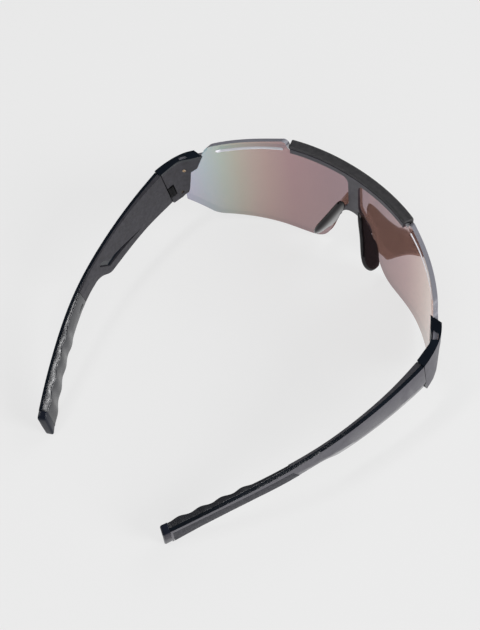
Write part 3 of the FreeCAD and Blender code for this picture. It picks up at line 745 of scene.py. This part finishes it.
# ---------------------------------------------------------------- temples
def face_inset(kind, s, h):
    """Inset of one of a temple's long faces at distance s and height h."""
    under = along(ARM_UNDER, s)
    knee = along(KNEE_H, s)
    if kind == "outer":
        knee = along(CREASE_H, s)
        top, low = 0.0, along(LOWER_LEAN, s)
    elif kind == "split":
        top, low = ARM_SPLIT + FIT, 0.5 * (along(LOWER_LEAN, s) + along(LOW_INSET, s)) + FIT
    else:
        top, low = along(TOP_THICK, s), along(LOW_INSET, s)
    if h >= knee:
        return top
    return top + (low - top) * min((knee - h) / (knee - under), 1.0)


def ripple(s):
    """Height of the sleeve's swellings above its inner face at distance s."""
    turns = (s - SCALLOP_START) / SCALLOP_PITCH
    if turns < 0 or turns > SCALLOP_COUNT:
        return 0.0
    return SCALLOP_PROUD * 0.5 * (1 - math.cos(2 * math.pi * turns))


def before_end(inset, h, ahead):
    """Side coordinate, at an inset and a height, of the plane that lies ahead of the end face."""
    (top_s, top_h), (low_s, low_h) = END_TOP, END_LOW
    heading = arm_place(top_s)[1]
    lean = (low_s - top_s) / (top_h - low_h)
    return top_s - ahead + lean * (top_h - h) * math.cos(heading) - inset * math.sin(heading)


def fitted(outline, y, first, ahead, share):
    """Ring for an outline drawn at side coordinate y, leant so that the last ring lies in the end plane."""
    low, top = ARM_LOW(y), ARM_TOP(y)
    ring = []
    for point in outline:
        place = first + (before_end(point.x, point.y, ahead) - first) * share
        rise = (point.y - low) / (top - low)
        h = point.y + rise * (ARM_TOP(place) - top) + (1 - rise) * (ARM_LOW(place) - low)
        ring.append(arm_at(place, point.x, h))
    return ring


def sleeve_rings():
    """Rings of the inner sleeve: rounded along its edges, with the row of swellings."""
    first = ARM_JOINT + FIT
    last = before_end(END_MIDDLE_INSET, END_MIDDLE_H, CAP_LENGTH)
    rings = []
    for y in eased(first, last, SLEEVE_END_ROUND, SLEEVE_STEP):
        s = y + SLEEVE_INSET * math.sin(arm_place(y)[1])
        low, top = ARM_LOW(y), ARM_TOP(y)
        knee = max(min(along(KNEE_H, s), top - SLEEVE_KNEE_MARGIN), low + SLEEVE_KNEE_MARGIN)
        swell = ripple(s)
        fall = SLEEVE_FALL * (face_inset("inner", s, top) - face_inset("split", s, top))
        corners = [(face_inset("split", s, h), h) for h in (low, knee, top)]
        corners.append((face_inset("inner", s, top) + swell, top - fall))
        corners += [(face_inset("inner", s, h) + swell, h) for h in (knee, low)]
        outline = rounded(corners, [0.15, 0.5, 0.12, 0.45, 1.6, 0.5])
        outline = shrunk(outline, end_shrink(min(y - first, last - y), SLEEVE_END_ROUND))
        rings.append(fitted(outline, y, first, CAP_LENGTH, (y - first) / (last - first)))
    return rings


def grip_rings():
    """Rings of the outer grip: a thin plate bent at the crease, with fine cross ribs."""
    first = GRIP_FIRST
    last = before_end(0.0, END_MIDDLE_H, CAP_LENGTH + GRIP_SHORT)
    count = RINGS_PER_RIB * round((last - first) / RIB_PITCH)
    rings = []
    for k in range(count + 1):
        y = first + (last - first) * k / count
        low = ARM_LOW(y)
        slant = GRIP_SLANT * (y - GRIP_TOE)
        ceiling = GRIP_TOP(y) if y > GRIP_SHOULDER[0] else GRIP_SHOULDER[1]
        top = max(min(ceiling, slant), low + 0.3)
        rib = RIB_HEIGHT * (0.5 - 0.5 * math.cos(2 * math.pi * k / RINGS_PER_RIB))
        crease = min(max(along(CREASE_H, y), low + 0.1), top - 0.1)
        land = min(GRIP_LAND, GRIP_LAND_SHARE * (top - low))
        back = GRIP_DEPTH - FIT
        edge = -GRIP_PROUD
        inner = rib - GRIP_PROUD
        section = [
            (back, low), (edge, low), (inner, low + land), (inner, crease),
            (inner, top - land), (edge, top), (back, top),
        ]
        corners = [(inset + face_inset("outer", y, h), h) for inset, h in section]
        outline = rounded(corners, [0.05, 0.12, 0.12, 0.12, 0.12, 0.12, 0.05], 2)
        rings.append(fitted(outline, y, first, CAP_LENGTH + GRIP_SHORT, k / count))
    return rings


def cap_rings():
    """Rings of an end cap: its corners well rounded, with a soft edge round the end face."""
    last = before_end(END_MIDDLE_INSET, END_MIDDLE_H, 0.0)
    length = CAP_LENGTH - FIT
    straight = eased(0.0, length, CAP_FRONT_ROUND, CAP_STEP)[:-EASE_STEPS]
    turned = [
        length - CAP_ROUND * (1 - math.sin(math.pi / 2 * k / CAP_TURNS)) for k in range(1, CAP_TURNS + 1)
    ]
    rings = []
    # The last straight ring lies past the first turned one, so the skin doubles back there once.
    for reach in straight + turned:
        ahead = length - reach
        y = last - ahead
        s = y + END_MIDDLE_INSET * math.sin(arm_place(y)[1])
        top = ARM_TOP(min(y, END_TOP[0]))
        floor_h = -(HINGE_Z - y * math.sin(HINGE_LEAN)) / math.cos(HINGE_LEAN)
        low = max(ARM_LOW(y), floor_h)
        middle = 0.5 * (low + top)
        corners = [(face_inset("outer", s, h), h) for h in (low, middle, top)]
        corners += [(face_inset("inner", s, h), h) for h in (top, middle, low)]
        outline = rounded(corners, [0.9, 0.5, 0.45, 0.6, 1.0, 1.0])
        tuck = end_shrink(reach, CAP_FRONT_TUCK) + end_shrink(ahead, CAP_ROUND)
        outline = shrunk(outline, min(tuck, CAP_ROUND * 0.98))
        ring = []
        for point in outline:
            place = before_end(point.x, point.y, ahead)
            rise = (point.y - low) / (top - low)
            h = point.y + rise * (ARM_TOP(place) - ARM_TOP(y))
            ring.append(arm_at(place, point.x, h))
        for point in ring:
            point.z = max(point.z, 0.0)
        rings.append(ring)
    return rings


def temples():
    """The sleeve, grip and cap of each temple; the number is the angle from which an edge shows sharp."""
    pieces = [
        ("temple_sleeve", "soft", sleeve_rings(), 50, "sleeve_rubber"),
        ("temple_grip", "soft", grip_rings(), 75, "grip_rubber"),
        ("temple_cap", "round", cap_rings(), 60, "gloss_slate"),
    ]
    for side in ("left", "right"):
        for node, form, rings, sharp, slot_name in pieces:
            shape = rings if side == "left" else mirrored(rings)
            obj = skin(node + "_" + form + "_" + side, shape, sharp)
            take_over(obj, "temple_" + side, node + "_" + side, slot_name)


# ---------------------------------------------------------------- CAD nodes that stay
def cad_parts():
    """Materials for every node that keeps its CAD mesh, with the edge rounding of those that are seen."""
    dress("lens_shield", "lens")
    dress("bridge_frame", "frame_satin", 0.18)
    for side in ("left", "right"):
        dress("nose_prong_" + side, "frame_satin")
        dress("endpiece_shell_" + side, "gloss_black", 0.35)
        dress("endpiece_cover_" + side, "matt_grey", 0.15)
        dress("lens_screws_" + side, "brass")
        dress("hinge_pin_" + side, "steel")
        dress("hinge_leaf_" + side, "steel")
        dress("temple_shell_" + side, "gloss_black", 0.35)
        dress("temple_panel_" + side, "matt_grey", 0.2)
        dress("temple_core_" + side, "steel")


# ---------------------------------------------------------------- camera, light and floor
SENSOR_HEIGHT = 36.0            # millimetres, as the focal length
FOCAL_LENGTH = 62.86
CAMERA_PLACE = (-0.18097, 0.14751, 0.37338)
CAMERA_TURN = (34.372, 3.930, -135.711)

FLOOR_HALF = 3.0
FLOOR_GREY = (0.12, 0.12, 0.12, 1)
FLOOR_GLOW = 0.69

# Name, place, point aimed at, width and height (metres), power (watts).
AREA_LIGHTS = [
    ("softbox_behind", (-1.2, 1.3, 1.3), (0, 0, 0), (1.3, 1.3), 24.0),
    ("softbox_right", (-1.8, -0.6, 1.0), (0, 0, 0), (0.9, 0.9), 38.0),
    ("softbox_front", (-0.2, -1.9, 1.1), (0, 0, 0), (1.3, 1.3), 18.0),
    ("strip_key", (0.78, 0.76, 0.66), (0, 0, 0), (0.14, 0.14), 0.35),
    ("strip_sleeve", (0.185, 0.42, 1.14), (0.205, 0.05, 0.02), (0.11, 0.65), 4.4),
]
# Upward part of a direction, brightness of the surroundings there.
WORLD_STOPS = [(0.0, 0.80), (0.05, 0.72), (0.18, 0.24), (0.36, 0.07), (1.0, 0.04)]


def camera():
    """The camera that was solved together with the shape."""
    data = bpy.data.cameras.new("camera")
    data.sensor_fit = "VERTICAL"
    data.sensor_height = SENSOR_HEIGHT
    data.lens = FOCAL_LENGTH
    obj = bpy.data.objects.new("camera", data)
    bpy.context.collection.objects.link(obj)
    obj.location = CAMERA_PLACE
    obj.rotation_euler = [math.radians(degrees) for degrees in CAMERA_TURN]
    bpy.context.scene.camera = obj


def floor():
    """White paper that shines a little, so that it stays as even as in a light tent."""
    mesh = bpy.data.meshes.new("floor")
    signs = ((-1, -1), (1, -1), (1, 1), (-1, 1))
    mesh.from_pydata([(FLOOR_HALF * a, FLOOR_HALF * b, 0) for a, b in signs], [], [(0, 1, 2, 3)])
    obj = bpy.data.objects.new("floor", mesh)
    bpy.context.collection.objects.link(obj)
    material = bpy.data.materials.new("floor_paper")
    material.use_nodes = True
    shader = material.node_tree.nodes["Principled BSDF"]
    shader.inputs["Base Color"].default_value = FLOOR_GREY
    shader.inputs["Roughness"].default_value = 0.9
    shader.inputs["Specular IOR Level"].default_value = 0.0
    shader.inputs["Emission Color"].default_value = (1, 1, 1, 1)
    shader.inputs["Emission Strength"].default_value = FLOOR_GLOW
    mesh.materials.append(material)


def area_light(name, place, target, size, power):
    """Rectangular light at a place, aimed at a target."""
    data = bpy.data.lights.new(name, "AREA")
    data.shape = "RECTANGLE"
    data.size = size[0]
    data.size_y = size[1]
    data.energy = power
    obj = bpy.data.objects.new(name, data)
    bpy.context.collection.objects.link(obj)
    obj.location = place
    direction = Vector(target) - Vector(place)
    obj.rotation_euler = direction.to_track_quat("-Z", "Y").to_euler()


def lighting():
    """Bright horizon under a dim ceiling, so that the upward faces of the glossy parts stay dark."""
    world = bpy.data.worlds.new("studio")
    world.use_nodes = True
    tree = world.node_tree
    background = tree.nodes["Background"]
    coordinates = tree.nodes.new("ShaderNodeTexCoord")
    split = tree.nodes.new("ShaderNodeSeparateXYZ")
    ramp = tree.nodes.new("ShaderNodeValToRGB")
    tree.links.new(coordinates.outputs["Generated"], split.inputs["Vector"])
    tree.links.new(split.outputs["Z"], ramp.inputs["Fac"])
    tree.links.new(ramp.outputs["Color"], background.inputs["Color"])
    set_stops(ramp, [(place, (value, value, value, 1)) for place, value in WORLD_STOPS])
    bpy.context.scene.world = world
    bpy.context.scene.view_settings.view_transform = "Standard"
    for light in AREA_LIGHTS:
        area_light(*light)


camera()
lighting()
floor()
brow_bar()
nose_pads()
temples()
cad_parts()
